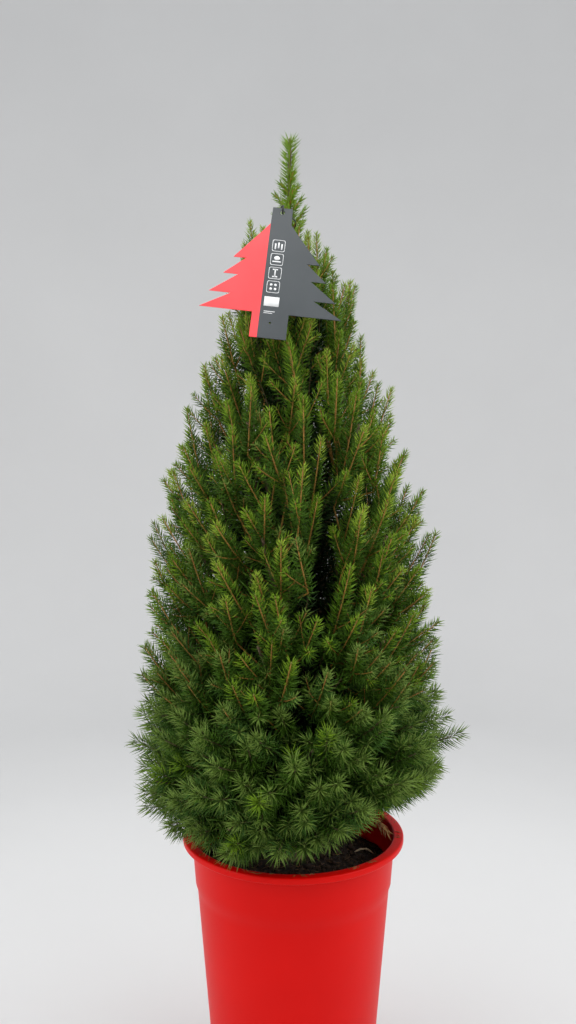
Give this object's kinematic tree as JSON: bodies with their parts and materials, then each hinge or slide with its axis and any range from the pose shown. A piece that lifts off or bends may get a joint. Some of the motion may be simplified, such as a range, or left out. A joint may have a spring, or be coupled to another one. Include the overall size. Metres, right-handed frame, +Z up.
{
  "type": "potted dwarf white spruce",
  "caption": "Dwarf conical spruce with dense upright shoots, standing in a tapered red plastic nursery pot filled with peat, with a fir-shaped hang tag near its tip.",
  "frame": {"origin": "centre of the pot's flat underside, on the surface that the pot stands on", "axes": "+Z up along the pot's axis and the trunk; +X to the right and -Y towards the viewer, where the hang tag faces"},
  "size_m": [0.3108, 0.2915, 0.943],
  "materials": {
    "red_pot_plastic": "moulded polypropylene, satin",
    "moist_peat": "loose, dark and crumbly",
    "sticker_paper": "blank white self-adhesive paper",
    "spruce_bark": "grey-brown, finely scaled bark",
    "spruce_needles": "slightly waxy needles",
    "tag_sheet": "printed synthetic sheet, satin",
    "tie_plastic": "thin black plastic loop"
  },
  "bodies": {
    "root": {"bough_lower_1": "spruce_bark", "bough_lower_2": "spruce_bark", "bough_lower_3": "spruce_bark", "bough_lower_4": "spruce_bark", "bough_lower_5": "spruce_bark", "bough_lower_6": "spruce_bark", "bough_middle_1": "spruce_bark", "bough_middle_2": "spruce_bark", "bough_middle_3": "spruce_bark", "bough_middle_4": "spruce_bark", "bough_middle_5": "spruce_bark", "bough_middle_6": "spruce_bark", "bough_skirt_1": "spruce_bark", "bough_skirt_2": "spruce_bark", "bough_skirt_3": "spruce_bark", "bough_skirt_4": "spruce_bark", "bough_skirt_5": "spruce_bark", "bough_skirt_6": "spruce_bark", "foliage_crest_1": "spruce_needles", "foliage_crest_2": "spruce_needles", "foliage_crest_3": "spruce_needles", "foliage_high_1": "spruce_needles", "foliage_high_2": "spruce_needles", "foliage_high_3": "spruce_needles", "foliage_high_4": "spruce_needles", "foliage_leader_foot": "spruce_needles", "foliage_leader_tip": "spruce_needles", "foliage_lower_1": "spruce_needles", "foliage_lower_2": "spruce_needles", "foliage_lower_3": "spruce_needles", "foliage_lower_4": "spruce_needles", "foliage_lower_5": "spruce_needles", "foliage_lower_6": "spruce_needles", "foliage_middle_1": "spruce_needles", "foliage_middle_2": "spruce_needles", "foliage_middle_3": "spruce_needles", "foliage_middle_4": "spruce_needles", "foliage_middle_5": "spruce_needles", "foliage_middle_6": "spruce_needles", "foliage_skirt_1": "spruce_needles", "foliage_skirt_2": "spruce_needles", "foliage_skirt_3": "spruce_needles", "foliage_skirt_4": "spruce_needles", "foliage_skirt_5": "spruce_needles", "foliage_skirt_6": "spruce_needles", "foliage_upper_1": "spruce_needles", "foliage_upper_2": "spruce_needles", "foliage_upper_3": "spruce_needles", "foliage_upper_4": "spruce_needles", "foliage_upper_5": "spruce_needles", "hang_tag": "tag_sheet", "pot": "red_pot_plastic", "pot_sticker": "sticker_paper", "soil": "moist_peat", "tag_tie": "tie_plastic", "trunk": "spruce_bark"}
  },
  "joints": []
}
